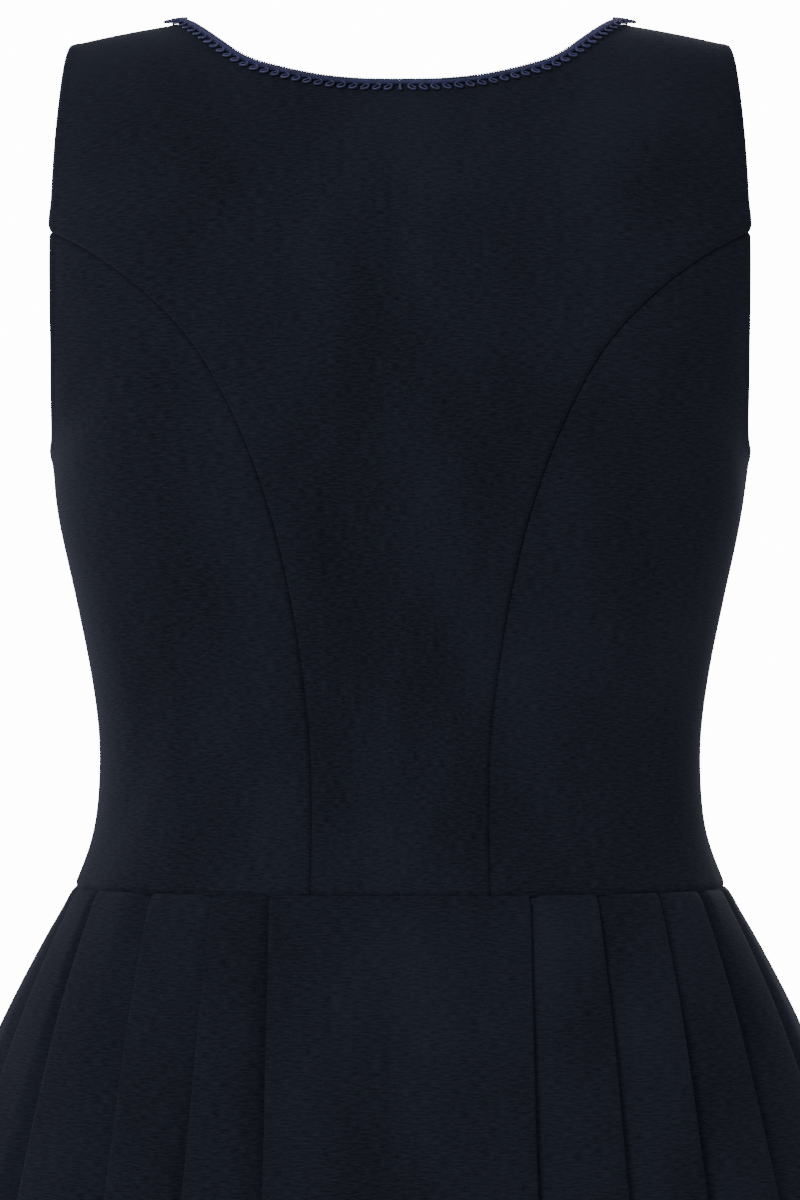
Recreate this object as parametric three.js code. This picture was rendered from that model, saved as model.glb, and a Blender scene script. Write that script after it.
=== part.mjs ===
// A sleeveless dirndl, worn and filled out: a panelled bodice, a knife-pleated skirt, gimp braid round the
// neck, and hooks and eyes inside the centre front. Millimetres, +Z up. The back faces -Y and the front +Y.
// The origin lies between the shoulder straps, where the shoulders carry the dress.
//
// A place on the body is a turn in degrees, 0 at the centre back and 180 at the centre front, and a climb in
// millimetres. The climb is the height up to the blades, and above them it runs on over the shoulder.
import * as THREE from "three";

// Driving sizes.
const WAIST_HEIGHT = -390;
const SKIRT_LENGTH = 700;
const BODICE_CLOTH = 1.6;
const SKIRT_CLOTH = 1.2;
const SEAM_GAP = 0.3;
const SQUARENESS = 2.35;
const BLADE_HEIGHT = -150;
const BLADE_TO_SHOULDER = 247;
const SHOULDER_CLIMB = BLADE_HEIGHT + BLADE_TO_SHOULDER;
const CHART_STEP = 0.05;

// The body's sections: half the width, and the depth to the back and to the front.
const BODY_SECTIONS = [
  { climb: -390, halfWidth: 149.5, back: 104, front: 104 },
  { climb: -369, halfWidth: 142, back: 98, front: 97 },
  { climb: -350, halfWidth: 138.8, back: 94, front: 93 },
  { climb: -323, halfWidth: 138.2, back: 90, front: 91 },
  { climb: -295, halfWidth: 141.5, back: 91, front: 93 },
  { climb: -258, halfWidth: 148.8, back: 97, front: 98 },
  { climb: -222, halfWidth: 156.6, back: 104, front: 105 },
  { climb: -190, halfWidth: 161, back: 109, front: 109 },
  { climb: -150, halfWidth: 168, back: 112.5, front: 110 },
  { climb: -100, halfWidth: 174, back: 113, front: 107 },
  { climb: -40, halfWidth: 176, back: 110, front: 103 },
  { climb: 30, halfWidth: 175, back: 104, front: 97 },
  { climb: 97, halfWidth: 172, back: 98, front: 92 },
];

// The top of the shoulder falls from the neck towards its tip.
const SHOULDER_TOP = 13;
const SHOULDER_FALL = 17;
const SHOULDER_TIP = 153;
const SHOULDER_BEND = 2.2;

// The bust darts' fullness, on each side of the centre front.
const BUST = { turn: 142, climb: -192, fullness: 16, across: 24, upright: 48 };

// The skirt's sections below the waist seam.
const SKIRT_SECTIONS = [
  { drop: 0, halfWidth: 149.5, back: 104, front: 104 },
  { drop: 6.5, halfWidth: 152.5, back: 106.5, front: 106 },
  { drop: 25, halfWidth: 163, back: 112.5, front: 111 },
  { drop: 60, halfWidth: 181, back: 123, front: 121 },
  { drop: 140, halfWidth: 216, back: 143, front: 141 },
  { drop: 250, halfWidth: 251, back: 170, front: 168 },
  { drop: 400, halfWidth: 289, back: 205, front: 203 },
  { drop: 550, halfWidth: 321, back: 238, front: 236 },
  { drop: 700, halfWidth: 350, back: 268, front: 266 },
];
const SKIRT_ROWS = [0, 20, 65, 150, 290, 480, 700];

// How the pleats open below the seam: the layers' distance, and how deep the cloth turns under.
const PLEAT_SECTIONS = [
  { drop: 0, layer: 1.75, under: 20 },
  { drop: 60, layer: 3, under: 20 },
  { drop: 150, layer: 5, under: 20 },
  { drop: 700, layer: 10, under: 22 },
];
// The pleats' fold edges, in degrees from the centre back, at the waist and at the hem. Each edge looks
// towards the centre front.
const PLEATS_LEFT = [
  { waist: 30, hem: 17.3 },
  { waist: 42, hem: 30 },
  { waist: 55, hem: 40 },
  { waist: 69, hem: 50.3 },
  { waist: 79, hem: 59.5 },
  { waist: 91, hem: 71 },
  { waist: 105, hem: 84 },
  { waist: 119, hem: 98 },
  { waist: 133, hem: 114 },
  { waist: 146, hem: 130 },
  { waist: 159, hem: 147 },
  { waist: 171, hem: 166 },
];
const PLEATS_RIGHT = [
  { waist: 30, hem: 17.4 },
  { waist: 44, hem: 31.5 },
  { waist: 57, hem: 41.2 },
  { waist: 68, hem: 50 },
  { waist: 79, hem: 61 },
  ...PLEATS_LEFT.slice(5),
];
// The lowest layer's middle lies this far inside the bodice's outer face, so that the three straddle its edge.
const PLEATS_SUNK = 1.9;
const CENTRE_PANEL_COLUMNS = 6;
const SEAM_STEP = 4;
// Where one length of the skirt is sewn to the next: under the pleat of this number on each side.
const BACK_LENGTH_PLEATS = 4;
const SIDE_LENGTH_PLEATS = 9;

// Cut edges, as rows of turn and climb. The neck's turn is counted from the nearest centre line, and its
// climb runs on past the shoulder to the front.
const BACK_SEAM = [
  { turn: 21.5, climb: -390 },
  { turn: 23.6, climb: -345 },
  { turn: 25.9, climb: -300 },
  { turn: 27.7, climb: -255 },
  { turn: 30.5, climb: -215 },
  { turn: 35.5, climb: -178 },
  { turn: 42.5, climb: -145 },
  { turn: 52, climb: -118 },
  { turn: 61.5, climb: -98 },
  { turn: 69.9, climb: -85 },
];
const BUST_SEAM = [
  { turn: 156, climb: -390 },
  { turn: 154, climb: -345 },
  { turn: 151, climb: -300 },
  { turn: 147, climb: -255 },
  { turn: 143, climb: -215 },
  { turn: 139.5, climb: -185 },
  { turn: 135, climb: -155 },
  { turn: 127, climb: -125 },
  { turn: 118, climb: -101 },
  { turn: 110.1, climb: -85 },
];
const SIDE_SEAM = [
  { turn: 93, climb: -390 },
  { turn: 90, climb: -192 },
];
const ARMHOLE = [
  { turn: 69.5, climb: 97 },
  { turn: 69.2, climb: 45 },
  { turn: 69, climb: -5 },
  { turn: 69.3, climb: -48 },
  { turn: 69.9, climb: -85 },
  { turn: 71.2, climb: -122 },
  { turn: 74.3, climb: -158 },
  { turn: 80.5, climb: -184.5 },
  { turn: 90, climb: -192 },
];
const SEAM_ON_ARMHOLE = 0.5;
const BACK_NECK = [
  { turn: 0, climb: -13.4 },
  { turn: 9.5, climb: -12.7 },
  { turn: 18.7, climb: -9 },
  { turn: 27.5, climb: -1 },
  { turn: 34.5, climb: 10 },
  { turn: 40.4, climb: 31 },
  { turn: 46, climb: 62 },
];
const NECK_POINT = { turn: 50.3, climb: 97 };
const FRONT_NECK = [
  { turn: 49, climb: 132 },
  { turn: 46.5, climb: 170 },
  { turn: 43, climb: 210 },
  { turn: 38, climb: 248 },
  { turn: 29.5, climb: 284 },
  { turn: 17, climb: 304 },
  { turn: 0, climb: 310 },
];

// How finely the cloth is faceted.
const SEAM_ROWS = 9;
const STRAP_ROWS = 6;
const SIDE_COLUMNS = 6;
const STRAP_COLUMNS = 2;
const NECK_COLUMNS = 9;

// Gimp braid on the neck edge.
const BRAID = { width: 6.4, thickness: 2.2, columnsEachWay: 14 };

// Hooks and eyes inside the centre front, in their own frame: X across the opening, Y out to the cloth.
const FASTENERS = { count: 8, top: -128, bottom: -374 };
const HOOK = { plate: 8, reach: 2.4, tip: 1, wire: 0.6, width: 2.2, bend: 2 };
const EYE = { radius: 3.4, wire: 0.45, offset: -3.9 };

const finishes = {
  cloth: { color: 0x1a1f2a, roughness: 0.92, metalness: 0 },
  braid: { color: 0x33395c, roughness: 0.8, metalness: 0 },
  metal: { color: 0x2b2d31, roughness: 0.45, metalness: 0.7 },
};

const dress = new THREE.Group();

function radians(degrees) {
  return THREE.MathUtils.degToRad(degrees);
}

// A smooth curve through one column of a table, by cubic steps between its rows.
function smoothValue(rows, key, column, at) {
  const last = rows.length - 1;
  const slope = (i) => {
    const before = rows[Math.max(i - 1, 0)];
    const after = rows[Math.min(i + 1, last)];
    return (after[column] - before[column]) / (after[key] - before[key]);
  };
  let i = 0;
  while (i < last - 1 && at > rows[i + 1][key]) i += 1;
  const width = rows[i + 1][key] - rows[i][key];
  const t = (at - rows[i][key]) / width;
  const stay = 2 * t ** 3 - 3 * t ** 2 + 1;
  const leave = (t ** 3 - 2 * t ** 2 + t) * width;
  const arrive = (t ** 3 - t ** 2) * width;
  return stay * rows[i][column] + leave * slope(i) + (1 - stay) * rows[i + 1][column] + arrive * slope(i + 1);
}

// The distance from the axis to a rounded, squarish section in the direction of a turn.
function sectionRadius(turn, halfWidth, depth) {
  const across = Math.abs(Math.sin(radians(turn))) / halfWidth;
  const along = Math.abs(Math.cos(radians(turn))) / depth;
  return 1 / (across ** SQUARENESS + along ** SQUARENESS) ** (1 / SQUARENESS);
}

function bustFullness(turn, climb) {
  const across = (Math.abs(turn) - BUST.turn) / BUST.across;
  const mirrored = (360 - Math.abs(turn) - BUST.turn) / BUST.across;
  const upright = (climb - BUST.climb) / BUST.upright;
  return BUST.fullness * (Math.exp(-(across ** 2)) + Math.exp(-(mirrored ** 2))) * Math.exp(-(upright ** 2));
}

function shoulderHeight(x) {
  return SHOULDER_TOP - SHOULDER_FALL * (Math.abs(x) / SHOULDER_TIP) ** SHOULDER_BEND;
}

// The cloth's outer face: section by section up to the blades, then a quarter arch over the shoulder.
function bodyPoint(turn, climb) {
  const side = Math.cos(radians(turn)) >= 0 ? "back" : "front";
  const halfWidth = smoothValue(BODY_SECTIONS, "climb", "halfWidth", climb);
  const depth = smoothValue(BODY_SECTIONS, "climb", side, climb);
  const radius = sectionRadius(turn, halfWidth, depth) + bustFullness(turn, climb);
  const arch = (THREE.MathUtils.clamp((climb - BLADE_HEIGHT) / BLADE_TO_SHOULDER, 0, 1) * Math.PI) / 2;
  const x = radius * Math.sin(radians(turn));
  const y = -radius * Math.cos(radians(turn)) * Math.cos(arch);
  const rise = (shoulderHeight(x) - BLADE_HEIGHT) * Math.sin(arch);
  return new THREE.Vector3(x, y, climb > BLADE_HEIGHT ? BLADE_HEIGHT + rise : climb);
}

// The outward direction there, kept level at the waist so that the cut edge lies flat on its seam.
function bodyNormal(turn, climb) {
  const left = bodyPoint(turn - CHART_STEP, climb);
  const right = bodyPoint(turn + CHART_STEP, climb);
  const below = bodyPoint(turn, climb - CHART_STEP);
  const above = bodyPoint(turn, Math.min(climb + CHART_STEP, SHOULDER_CLIMB));
  const normal = right.sub(left).cross(above.sub(below));
  if (climb < WAIST_HEIGHT + CHART_STEP) normal.z = 0;
  return normal.normalize();
}

// Chart curves are drawn with the turn scaled to about its length round the body.
const ROUND_SCALE = 2.4;

function chart(turn, climb) {
  return new THREE.Vector2(turn * ROUND_SCALE, climb);
}

function chartCurve(rows) {
  return new THREE.SplineCurve(rows.map((row) => chart(row.turn, row.climb)));
}

function along(curve, start, end, steps) {
  return Array.from({ length: steps + 1 }, (_, i) => curve.getPoint(start + ((end - start) * i) / steps));
}

function mirrored(points) {
  return points.map((p) => new THREE.Vector2(-p.x, p.y));
}

function toFront(points) {
  return points.map((p) => new THREE.Vector2(180 * ROUND_SCALE - p.x, p.y));
}

function straight(start, end, steps) {
  return Array.from({ length: steps + 1 }, (_, i) => start.clone().lerp(end, i / steps));
}

// Fills a patch between four edges that share their corners, as a net of columns and rows.
function patch(bottom, top, left, right) {
  const columns = bottom.length - 1;
  const rows = left.length - 1;
  return bottom.map((low, i) =>
    left.map((start, j) => {
      const u = i / columns;
      const v = j / rows;
      const ruled = start.clone().multiplyScalar(1 - u).addScaledVector(right[j], u);
      ruled.addScaledVector(low, 1 - v).addScaledVector(top[i], v);
      ruled.addScaledVector(bottom[0], -(1 - u) * (1 - v)).addScaledVector(bottom[columns], -u * (1 - v));
      return ruled.addScaledVector(top[0], -(1 - u) * v).addScaledVector(top[columns], -u * v);
    }),
  );
}

// Draws each edge of a net in by half the seam gap, square to the edge.
function drawnIn(net) {
  const lastColumn = net.length - 1;
  const lastRow = net[0].length - 1;
  const inward = (i, j, di, dj) => {
    const ahead = net[Math.min(i + Math.abs(dj), lastColumn)][Math.min(j + Math.abs(di), lastRow)];
    const behind = net[Math.max(i - Math.abs(dj), 0)][Math.max(j - Math.abs(di), 0)];
    const edge = ahead.clone().sub(behind).normalize();
    const step = net[i + di][j + dj].clone().sub(net[i][j]);
    return step.addScaledVector(edge, -step.dot(edge)).normalize();
  };
  return net.map((column, i) =>
    column.map((point, j) => {
      const moved = point.clone();
      if (i === 0) moved.addScaledVector(inward(i, j, 1, 0), SEAM_GAP / 2);
      if (i === lastColumn) moved.addScaledVector(inward(i, j, -1, 0), SEAM_GAP / 2);
      if (j === 0) moved.addScaledVector(inward(i, j, 0, 1), SEAM_GAP / 2);
      if (j === lastRow) moved.addScaledVector(inward(i, j, 0, -1), SEAM_GAP / 2);
      return moved;
    }),
  );
}

function addSolid(name, positions, triangles, finish) {
  const geometry = new THREE.BufferGeometry();
  geometry.setAttribute("position", new THREE.Float32BufferAttribute(positions, 3));
  geometry.setIndex(triangles);
  const mesh = new THREE.Mesh(geometry, new THREE.MeshStandardMaterial(finish));
  mesh.name = name;
  dress.add(mesh);
}

// Closes two nets of the same size, an outer face and an inner face, into one wall. The columns run to the
// right and the rows upwards as seen from outside.
function addWall(name, outer, inner, finish) {
  const columns = outer.length;
  const rows = outer[0].length;
  const positions = [];
  for (const face of [outer, inner]) {
    for (const column of face) {
      for (const point of column) positions.push(point.x, point.y, point.z);
    }
  }
  const front = (i, j) => i * rows + j;
  const back = (i, j) => columns * rows + i * rows + j;
  const triangles = [];
  const quad = (a, b, c, d) => triangles.push(a, b, c, a, c, d);
  for (let i = 0; i < columns - 1; i += 1) {
    for (let j = 0; j < rows - 1; j += 1) {
      quad(front(i, j), front(i + 1, j), front(i + 1, j + 1), front(i, j + 1));
      quad(back(i, j), back(i, j + 1), back(i + 1, j + 1), back(i + 1, j));
    }
    quad(back(i, 0), back(i + 1, 0), front(i + 1, 0), front(i, 0));
    quad(front(i, rows - 1), front(i + 1, rows - 1), back(i + 1, rows - 1), back(i, rows - 1));
  }
  for (let j = 0; j < rows - 1; j += 1) {
    const end = columns - 1;
    quad(back(0, j + 1), back(0, j), front(0, j), front(0, j + 1));
    quad(front(end, j + 1), front(end, j), back(end, j), back(end, j + 1));
  }
  addSolid(name, positions, triangles, finish);
}

// Turns a chart patch into a cloth panel, or into its mirror image on the left.
function addPanel(name, chartPatch, onLeft = false) {
  const place = (p) => bodyPoint(p.x / ROUND_SCALE, p.y);
  const normal = (p) => bodyNormal(p.x / ROUND_SCALE, p.y);
  let outer = drawnIn(chartPatch.map((column) => column.map(place)));
  let inner = outer.map((column, i) =>
    column.map((point, j) => point.clone().addScaledVector(normal(chartPatch[i][j]), -BODICE_CLOTH)),
  );
  if (onLeft) {
    outer = mirrorNet(outer);
    inner = mirrorNet(inner);
  }
  addWall(name, outer, inner, finishes.cloth);
}

// The mirror image's columns are put in the other order, so that they still run to the right.
function mirrorNet(net) {
  return net.map((column) => column.map((p) => new THREE.Vector3(-p.x, p.y, p.z))).reverse();
}

const armhole = chartCurve(ARMHOLE);
const backSeam = chartCurve(BACK_SEAM);
const bustSeam = chartCurve(BUST_SEAM);
const sideSeam = chartCurve(SIDE_SEAM);
const neckEdge = chartCurve([...BACK_NECK, NECK_POINT, ...FRONT_NECK]);
const NECK_POINT_ON_EDGE = BACK_NECK.length / (BACK_NECK.length + FRONT_NECK.length);
const shoulderTip = chart(ARMHOLE[0].turn, SHOULDER_CLIMB);
const neckPoint = chart(NECK_POINT.turn, SHOULDER_CLIMB);

// Past the shoulder the neck edge's climb is folded back down the front.
function foldedDown(points) {
  return points.map((p) => new THREE.Vector2(p.x, 2 * SHOULDER_CLIMB - p.y));
}

// Half of a centre panel's top edge: along the shoulder from its tip, then down the neck edge to the middle.
function topEdge(neckHalf) {
  return [...straight(shoulderTip, neckPoint, STRAP_COLUMNS), ...neckHalf.slice(1)];
}

function backCentre() {
  const neckHalf = along(neckEdge, NECK_POINT_ON_EDGE, 0, NECK_COLUMNS);
  const halfTop = topEdge(neckHalf);
  const top = [...mirrored(halfTop), ...halfTop.slice(0, -1).reverse()];
  const strap = along(armhole, SEAM_ON_ARMHOLE, 0, STRAP_ROWS);
  const right = [...along(backSeam, 0, 1, SEAM_ROWS), ...strap.slice(1)];
  const left = mirrored(right);
  addPanel("back_centre", patch(straight(left[0], right[0], top.length - 1), top, left, right));
}

function backSide(name, onLeft) {
  const left = along(backSeam, 0, 1, SEAM_ROWS);
  const right = along(sideSeam, 0, 1, SEAM_ROWS);
  const top = along(armhole, SEAM_ON_ARMHOLE, 1, SIDE_COLUMNS);
  addPanel(name, patch(straight(left[0], right[0], SIDE_COLUMNS), top, left, right), onLeft);
}

function frontSide(name, onLeft) {
  const left = along(sideSeam, 0, 1, SEAM_ROWS);
  const right = along(bustSeam, 0, 1, SEAM_ROWS);
  const top = toFront(along(armhole, 1, SEAM_ON_ARMHOLE, SIDE_COLUMNS));
  addPanel(name, patch(straight(left[0], right[0], SIDE_COLUMNS), top, left, right), onLeft);
}

function frontCentre(name, onLeft) {
  const neckHalf = foldedDown(along(neckEdge, NECK_POINT_ON_EDGE, 1, NECK_COLUMNS));
  const top = toFront(topEdge(neckHalf));
  const strap = toFront(along(armhole, SEAM_ON_ARMHOLE, 0, STRAP_ROWS));
  const left = [...along(bustSeam, 0, 1, SEAM_ROWS), ...strap.slice(1)];
  const right = straight(chart(180, WAIST_HEIGHT), top[top.length - 1], SEAM_ROWS + STRAP_ROWS);
  addPanel(name, patch(straight(left[0], right[0], top.length - 1), top, left, right), onLeft);
}

// One half of the neck braid: a flat band on the cloth, its upper edge on the neck edge. It runs from the
// centre back over the shoulder to the centre front.
function neckTrim(name, onLeft) {
  const places = along(neckEdge, 0, 1, 2 * BRAID.columnsEachWay).map((p) => {
    const overShoulder = p.y > SHOULDER_CLIMB;
    const turn = overShoulder ? 180 - p.x / ROUND_SCALE : p.x / ROUND_SCALE;
    const climb = overShoulder ? 2 * SHOULDER_CLIMB - p.y : p.y;
    return { edge: bodyPoint(turn, climb), normal: bodyNormal(turn, climb) };
  });
  const last = places.length - 1;
  const columns = places.map(({ edge, normal }, i) => {
    const tangent = places[Math.min(i + 1, last)].edge.clone().sub(places[Math.max(i - 1, 0)].edge);
    if (i === 0 || i === last) tangent.set(tangent.x, 0, 0);
    const across = tangent.clone().cross(normal).normalize();
    const shift = i === 0 ? SEAM_GAP / 2 : i === last ? -SEAM_GAP / 2 : 0;
    const corner = (width, height) => {
      const point = edge.clone().addScaledVector(across, width).addScaledVector(normal, height);
      return point.addScaledVector(tangent.clone().normalize(), shift);
    };
    const low = SEAM_GAP;
    const high = SEAM_GAP + BRAID.thickness;
    return {
      outer: [corner(BRAID.width, high), corner(0, high)],
      inner: [corner(BRAID.width, low), corner(0, low)],
    };
  });
  let outer = columns.map((column) => column.outer);
  let inner = columns.map((column) => column.inner);
  if (onLeft) {
    outer = mirrorNet(outer);
    inner = mirrorNet(inner);
  }
  addWall(name, outer, inner, finishes.braid);
}

// A point of the skirt's section at a drop below the waist, and its level outward direction.
function skirtPoint(turn, drop) {
  const side = Math.cos(radians(turn)) >= 0 ? "back" : "front";
  const halfWidth = smoothValue(SKIRT_SECTIONS, "drop", "halfWidth", drop);
  const depth = smoothValue(SKIRT_SECTIONS, "drop", side, drop);
  const radius = sectionRadius(turn, halfWidth, depth);
  return new THREE.Vector2(radius * Math.sin(radians(turn)), -radius * Math.cos(radians(turn)));
}

function skirtTangent(turn, drop) {
  return skirtPoint(turn + CHART_STEP, drop).sub(skirtPoint(turn - CHART_STEP, drop));
}

// A fold hangs on a straight line from its place at the waist to its place at the hem.
function foldTurn(fold, drop) {
  const width = (at) => smoothValue(SKIRT_SECTIONS, "drop", "halfWidth", at);
  const share = (width(drop) - width(0)) / (width(SKIRT_LENGTH) - width(0));
  const place = skirtPoint(fold.waist, 0).lerp(skirtPoint(fold.hem, SKIRT_LENGTH), share);
  return THREE.MathUtils.radToDeg(Math.atan2(place.x, -place.y));
}

// The folds in order round the skirt from the centre front, over the left side, the back and the right side.
// Each has its own edge's direction: -1 looks to lower turns and +1 to higher ones.
const folds = [
  ...PLEATS_LEFT.map((row) => ({ waist: -row.waist, hem: -row.hem, looks: -1 })).reverse(),
  ...PLEATS_RIGHT.map((row) => ({ ...row, looks: 1 })),
];

// The three layers at a fold, from the lower turn to the higher, as steps of turning under, and of level.
// The top layer's edge is at the fold, and the inner edge lies under it.
function foldSteps(under, layer) {
  const round = layer / 2;
  return [
    { back: under, level: 2 * layer },
    { back: round, level: 2 * layer },
    { back: 0, level: 1.5 * layer },
    { back: round, level: layer },
    { back: under - round, level: layer },
    { back: under, level: layer / 2 },
    { back: under - round, level: 0 },
    { back: 0, level: 0 },
  ];
}

// The middle line of the pleated cloth at one drop, as a list of places, each with the fold it belongs to.
function pleatLine(drop) {
  const layer = smoothValue(PLEAT_SECTIONS, "drop", "layer", drop);
  const under = smoothValue(PLEAT_SECTIONS, "drop", "under", drop);
  const lift = (turn, level) => {
    const tangent = skirtTangent(turn, drop).normalize();
    const normal = new THREE.Vector2(tangent.y, -tangent.x);
    return skirtPoint(turn, drop).addScaledVector(normal, level - PLEATS_SUNK);
  };
  const parts = [];
  const flat = (start, end, level, steps) => {
    for (let i = 1; i < steps; i += 1) {
      parts.push({ fold: -1, point: lift(start + ((end - start) * i) / steps, level) });
    }
  };
  parts.push({ fold: -1, point: lift(-180, 0) });
  folds.forEach((fold, index) => {
    const turn = foldTurn(fold, drop);
    const perDegree = skirtTangent(turn, drop).length() / (2 * CHART_STEP);
    const steps = foldSteps(under, layer);
    const ordered = fold.looks > 0 ? steps : steps.reverse();
    ordered.forEach((step, stepIndex) => {
      const at = turn - (fold.looks * step.back) / perDegree;
      parts.push({ fold: index, step: stepIndex, point: lift(at, step.level) });
    });
    if (index === PLEATS_LEFT.length - 1) {
      flat(turn, foldTurn(folds[index + 1], drop), 2 * layer, CENTRE_PANEL_COLUMNS);
    }
  });
  parts.push({ fold: -1, point: lift(180, 0) });
  return parts;
}

// Sews one length of the skirt: the stretch of the pleated line between two of its places.
function addSkirtLength(name, start, end) {
  const rows = SKIRT_ROWS.slice().reverse();
  const nets = { outer: [], inner: [] };
  for (const drop of rows) {
    const line = pleatLine(drop).map((part) => part.point);
    const height = WAIST_HEIGHT - drop - (drop === 0 ? SEAM_GAP / 2 : 0);
    for (let i = start; i <= end; i += 1) {
      const before = line[i === 0 ? 0 : i - 1];
      const after = line[i === line.length - 1 ? i : i + 1];
      const direction = after.clone().sub(before).normalize();
      const normal = new THREE.Vector2(direction.y, -direction.x);
      const middle = line[i].clone();
      if (i === start) middle.addScaledVector(line[i + 1].clone().sub(line[i]).normalize(), SEAM_GAP / 2);
      if (i === end) middle.addScaledVector(line[i - 1].clone().sub(line[i]).normalize(), SEAM_GAP / 2);
      for (const [face, sign] of [["outer", 1], ["inner", -1]]) {
        const point = middle.clone().addScaledVector(normal, (sign * SKIRT_CLOTH) / 2);
        nets[face][i - start] ??= [];
        nets[face][i - start].push(new THREE.Vector3(point.x, point.y, height));
      }
    }
  }
  addWall(name, nets.outer, nets.inner, finishes.cloth);
}

// The place of the sewn seam inside a fold, at an end of the layer that turns under.
function seamPlace(line, foldIndex) {
  return line.findIndex((part) => part.fold === foldIndex && part.step === SEAM_STEP);
}

function skirt() {
  const line = pleatLine(0);
  const perSide = PLEATS_LEFT.length;
  const seams = [
    0,
    seamPlace(line, perSide - SIDE_LENGTH_PLEATS),
    seamPlace(line, perSide - BACK_LENGTH_PLEATS),
    seamPlace(line, perSide - 1 + BACK_LENGTH_PLEATS),
    seamPlace(line, perSide - 1 + SIDE_LENGTH_PLEATS),
    line.length - 1,
  ];
  const names = ["front_left", "side_left", "back", "side_right", "front_right"];
  names.forEach((name, i) => addSkirtLength(`skirt_${name}`, seams[i], seams[i + 1]));
}

// A flat hook bent back on itself, as a strip extruded to its width.
function hookShape() {
  const half = HOOK.wire / 2;
  const shape = new THREE.Shape();
  shape.moveTo(HOOK.plate, half);
  shape.lineTo(-HOOK.reach, half);
  shape.absarc(-HOOK.reach, -HOOK.bend / 2, HOOK.bend / 2 + half, Math.PI / 2, (3 * Math.PI) / 2, false);
  shape.lineTo(HOOK.tip, -HOOK.bend - half);
  shape.lineTo(HOOK.tip, -HOOK.bend + half);
  shape.lineTo(-HOOK.reach, -HOOK.bend + half);
  shape.absarc(-HOOK.reach, -HOOK.bend / 2, HOOK.bend / 2 - half, (3 * Math.PI) / 2, Math.PI / 2, true);
  shape.lineTo(HOOK.plate, -half);
  return shape;
}

// One fastened pair on the inside of the centre front, turned to lie along the cloth.
function fastener(index) {
  const climb = THREE.MathUtils.lerp(FASTENERS.top, FASTENERS.bottom, index / (FASTENERS.count - 1));
  const normal = bodyNormal(180, climb);
  const plateTurn = THREE.MathUtils.radToDeg(HOOK.plate / bodyPoint(180, climb).y);
  const fallAway = bodyPoint(180, climb).sub(bodyPoint(180 - plateTurn, climb)).dot(normal);
  const depth = BODICE_CLOTH + Math.max(fallAway, 0) + SEAM_GAP + HOOK.wire / 2;
  const pair = new THREE.Group();
  pair.position.copy(bodyPoint(180, climb)).addScaledVector(normal, -depth);
  pair.rotation.x = Math.atan2(normal.z, normal.y);
  const hook = new THREE.Mesh(
    new THREE.ExtrudeGeometry(hookShape(), { depth: HOOK.width, bevelEnabled: false, curveSegments: 4 }),
    new THREE.MeshStandardMaterial(finishes.metal),
  );
  hook.name = `hook_${index + 1}`;
  hook.position.z = -HOOK.width / 2;
  const eye = new THREE.Mesh(
    new THREE.TorusGeometry(EYE.radius, EYE.wire, 5, 12),
    new THREE.MeshStandardMaterial(finishes.metal),
  );
  eye.name = `eye_${index + 1}`;
  eye.rotation.x = Math.PI / 2;
  eye.position.set(EYE.offset, -HOOK.bend / 2, 0);
  pair.add(hook, eye);
  dress.add(pair);
}

backCentre();
backSide("back_side_right", false);
backSide("back_side_left", true);
frontSide("front_side_right", false);
frontSide("front_side_left", true);
frontCentre("front_centre_right", false);
frontCentre("front_centre_left", true);
skirt();
neckTrim("neck_trim_right", false);
neckTrim("neck_trim_left", true);
for (let index = 0; index < FASTENERS.count; index += 1) fastener(index);

export default dress;
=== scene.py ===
"""A sleeveless navy dirndl, worn and filled out, finished in cloth, gimp braid and black wire."""
import math

import bpy
import numpy as np
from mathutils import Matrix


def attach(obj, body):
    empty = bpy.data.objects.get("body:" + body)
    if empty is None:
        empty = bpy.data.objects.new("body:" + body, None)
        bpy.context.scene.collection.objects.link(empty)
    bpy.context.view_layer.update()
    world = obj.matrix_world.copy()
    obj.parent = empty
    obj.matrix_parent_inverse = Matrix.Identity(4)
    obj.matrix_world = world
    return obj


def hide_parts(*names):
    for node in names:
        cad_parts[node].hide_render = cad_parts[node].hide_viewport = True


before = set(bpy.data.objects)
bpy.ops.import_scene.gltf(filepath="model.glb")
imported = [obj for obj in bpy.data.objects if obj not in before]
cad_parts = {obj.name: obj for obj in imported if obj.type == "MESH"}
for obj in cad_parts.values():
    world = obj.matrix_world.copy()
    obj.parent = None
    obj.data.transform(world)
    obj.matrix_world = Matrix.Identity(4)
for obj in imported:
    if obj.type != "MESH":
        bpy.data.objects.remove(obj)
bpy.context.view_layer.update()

MM = 0.001

# ---------------------------------------------------------------- the cut, in millimetres and degrees
WAIST_HEIGHT = -390.0
SKIRT_LENGTH = 700.0
SQUARENESS = 2.35
BLADE_HEIGHT = -150.0
BLADE_TO_SHOULDER = 247.0
SHOULDER_CLIMB = BLADE_HEIGHT + BLADE_TO_SHOULDER
ROUND_SCALE = 2.4
BODICE_CLOTH = 1.4
SKIRT_CLOTH = 1.0

# climb, half width, depth to the back, depth to the front
BODY_SECTIONS = np.array([
    (-390, 149.5, 104, 104), (-369, 142, 98, 97), (-350, 138.8, 94, 93), (-323, 138.2, 90, 91),
    (-295, 141.5, 91, 93), (-258, 148.8, 97, 98), (-222, 156.6, 104, 105), (-190, 161, 109, 109),
    (-150, 168, 112.5, 110), (-100, 174, 113, 107), (-40, 176, 110, 103), (30, 175, 104, 97),
    (97, 172, 98, 92)], float)
SHOULDER_TOP, SHOULDER_FALL, SHOULDER_TIP, SHOULDER_BEND = 13.0, 17.0, 153.0, 2.2
BUST_TURN, BUST_CLIMB, BUST_FULLNESS, BUST_ACROSS, BUST_UPRIGHT = 142.0, -192.0, 16.0, 24.0, 48.0

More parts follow.
